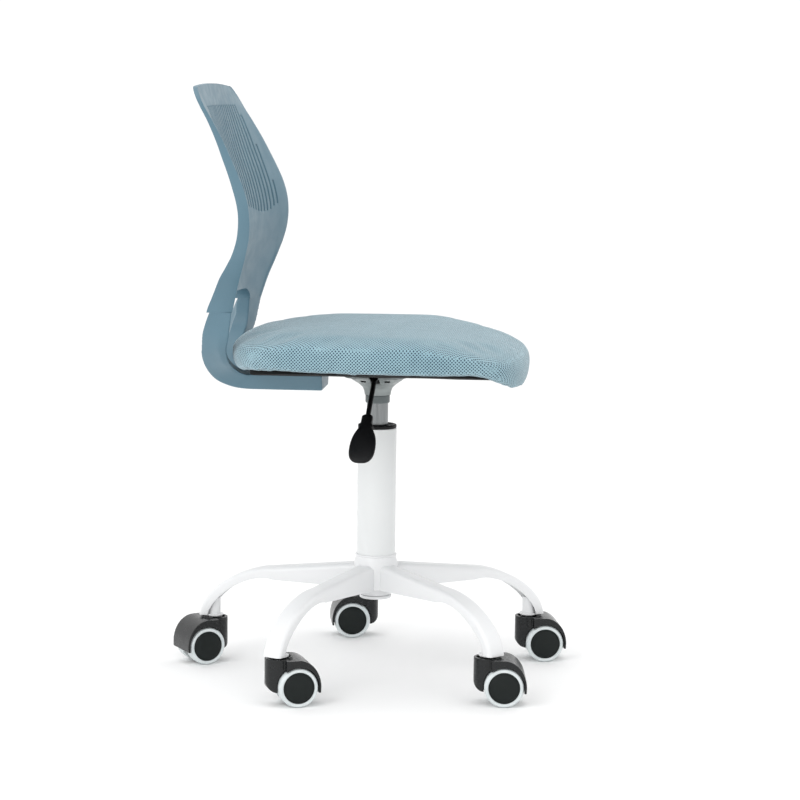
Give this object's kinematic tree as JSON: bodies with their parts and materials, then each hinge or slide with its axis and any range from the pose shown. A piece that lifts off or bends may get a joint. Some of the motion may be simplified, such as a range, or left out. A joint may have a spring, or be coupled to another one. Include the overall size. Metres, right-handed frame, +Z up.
{
  "type": "swivel office chair",
  "caption": "Armless swivel task chair: five-leg base on twin-wheel casters, gas-lift column, padded fabric seat and a slotted one-piece plastic back on a forked arm.",
  "frame": {"origin": "on the floor, on the swivel axis of the column", "axes": "+Z up; -Y is the way the sitter faces; -X is the sitter's right, where the height lever is"},
  "size_m": [0.4716, 0.5279, 0.771],
  "materials": {
    "white_paint": "satin powder coat",
    "white_column": "satin powder coat",
    "black_gloss": "moulded, glossy",
    "steel": "turned",
    "wheel_core": "moulded, satin",
    "tread": "pale soft tread",
    "zinc_plate": "pressed sheet, pale grey zinc",
    "black_matte": "moulded, satin",
    "seat_board": "black under-cover over a seat board",
    "seat_fabric": "woven spacer mesh over foam",
    "blue_plastic": "fine moulded grain"
  },
  "bodies": {
    "base": {"base_hub": "white_paint", "base_hub_cap": "white_paint", "base_leg_1": "white_paint", "base_leg_2": "white_paint", "base_leg_3": "white_paint", "base_leg_4": "white_paint", "base_leg_5": "white_paint", "caster_stem_1": "steel", "caster_stem_2": "steel", "caster_stem_3": "steel", "caster_stem_4": "steel", "caster_stem_5": "steel", "column_tube": "white_column", "column_cap": "black_gloss", "thrust_bearing": "steel"},
    "spindle": {"piston_rod": "steel", "retaining_clip": "steel"},
    "seat": {"gas_cylinder": "steel", "cylinder_collar": "zinc_plate", "seat_plate": "zinc_plate", "seat_pan": "seat_board", "seat_cushion": "seat_fabric", "back_arm": "blue_plastic", "back_shell": "blue_plastic"},
    "lever": {"lever_rod": "black_matte", "lever_paddle": "black_matte"},
    "button": {"release_button": "steel"},
    "caster_1": {"caster_hood_1": "black_gloss", "caster_axle_1": "steel"},
    "caster_2": {"caster_hood_2": "black_gloss", "caster_axle_2": "steel"},
    "caster_3": {"caster_hood_3": "black_gloss", "caster_axle_3": "steel"},
    "caster_4": {"caster_hood_4": "black_gloss", "caster_axle_4": "steel"},
    "caster_5": {"caster_hood_5": "black_gloss", "caster_axle_5": "steel"},
    "wheel_1_left": {"wheel_core_1_left": "wheel_core", "wheel_tread_1_left": "tread"},
    "wheel_1_right": {"wheel_core_1_right": "wheel_core", "wheel_tread_1_right": "tread"},
    "wheel_2_left": {"wheel_core_2_left": "wheel_core", "wheel_tread_2_left": "tread"},
    "wheel_2_right": {"wheel_core_2_right": "wheel_core", "wheel_tread_2_right": "tread"},
    "wheel_3_left": {"wheel_core_3_left": "wheel_core", "wheel_tread_3_left": "tread"},
    "wheel_3_right": {"wheel_core_3_right": "wheel_core", "wheel_tread_3_right": "tread"},
    "wheel_4_left": {"wheel_core_4_left": "wheel_core", "wheel_tread_4_left": "tread"},
    "wheel_4_right": {"wheel_core_4_right": "wheel_core", "wheel_tread_4_right": "tread"},
    "wheel_5_left": {"wheel_core_5_left": "wheel_core", "wheel_tread_5_left": "tread"},
    "wheel_5_right": {"wheel_core_5_right": "wheel_core", "wheel_tread_5_right": "tread"}
  },
  "joints": [
    {"name": "seat_swivel", "type": "hinge", "parent": "base", "child": "spindle", "pos_m": [0, 0, 0.125], "axis": [0, 0, 1], "continuous": true},
    {"name": "height_slide", "type": "slide", "parent": "spindle", "child": "seat", "axis": [0, 0, 1], "range_m": [-0.012, 0.105]},
    {"name": "lever_pivot", "type": "hinge", "parent": "seat", "child": "lever", "pos_m": [-0.04, 0, 0.394], "axis": [0, 1, 0], "range_deg": [0, 4], "stiffness_Nm_per_rad": 5, "springref_deg": -1.72},
    {"name": "button_press", "type": "slide", "parent": "seat", "child": "button", "axis": [0, 0, -1], "range_m": [0, 0.0033], "stiffness_N_per_m": 1500},
    {"name": "caster_1_swivel", "type": "hinge", "parent": "base", "child": "caster_1", "pos_m": [0.22069, 0.03535, 0.045], "axis": [0, 0, 1], "continuous": true},
    {"name": "caster_2_swivel", "type": "hinge", "parent": "base", "child": "caster_2", "pos_m": [0.03458, 0.22081, 0.045], "axis": [0, 0, 1], "continuous": true},
    {"name": "caster_3_swivel", "type": "hinge", "parent": "base", "child": "caster_3", "pos_m": [-0.19932, 0.10112, 0.045], "axis": [0, 0, 1], "continuous": true},
    {"name": "caster_4_swivel", "type": "hinge", "parent": "base", "child": "caster_4", "pos_m": [-0.15776, -0.15831, 0.045], "axis": [0, 0, 1], "continuous": true},
    {"name": "caster_5_swivel", "type": "hinge", "parent": "base", "child": "caster_5", "pos_m": [0.10181, -0.19896, 0.045], "axis": [0, 0, 1], "continuous": true},
    {"name": "wheel_1_left_roll", "type": "hinge", "parent": "caster_1", "child": "wheel_1_left", "pos_m": [0.21718, 0.05504, 0.025], "axis": [-0.9845, -0.1754, 0], "continuous": true},
    {"name": "wheel_1_right_roll", "type": "hinge", "parent": "caster_1", "child": "wheel_1_right", "pos_m": [0.21718, 0.05504, 0.025], "axis": [-0.9845, -0.1754, 0], "continuous": true},
    {"name": "wheel_2_left_roll", "type": "hinge", "parent": "caster_2", "child": "wheel_2_left", "pos_m": [0.0238, 0.23766, 0.025], "axis": [-0.8425, -0.5388, 0], "continuous": true},
    {"name": "wheel_2_right_roll", "type": "hinge", "parent": "caster_2", "child": "wheel_2_right", "pos_m": [0.0238, 0.23766, 0.025], "axis": [-0.8425, -0.5388, 0], "continuous": true},
    {"name": "wheel_3_left_roll", "type": "hinge", "parent": "caster_3", "child": "wheel_3_left", "pos_m": [-0.19212, 0.08246, 0.025], "axis": [0.933, 0.36, 0], "continuous": true},
    {"name": "wheel_3_right_roll", "type": "hinge", "parent": "caster_3", "child": "wheel_3_right", "pos_m": [-0.19212, 0.08246, 0.025], "axis": [0.933, 0.36, 0], "continuous": true},
    {"name": "wheel_4_left_roll", "type": "hinge", "parent": "caster_4", "child": "wheel_4_left", "pos_m": [-0.15598, -0.17824, 0.025], "axis": [0.996, 0.0889, 0], "continuous": true},
    {"name": "wheel_4_right_roll", "type": "hinge", "parent": "caster_4", "child": "wheel_4_right", "pos_m": [-0.15598, -0.17824, 0.025], "axis": [0.996, 0.0889, 0], "continuous": true},
    {"name": "wheel_5_left_roll", "type": "hinge", "parent": "caster_5", "child": "wheel_5_left", "pos_m": [0.10556, -0.21861, 0.025], "axis": [0.9823, 0.1874, 0], "continuous": true},
    {"name": "wheel_5_right_roll", "type": "hinge", "parent": "caster_5", "child": "wheel_5_right", "pos_m": [0.10556, -0.21861, 0.025], "axis": [0.9823, 0.1874, 0], "continuous": true}
  ],
  "couplings": [
    {"joint": "button_press", "follows": "lever_pivot", "m_per_rad": 0.045}
  ]
}
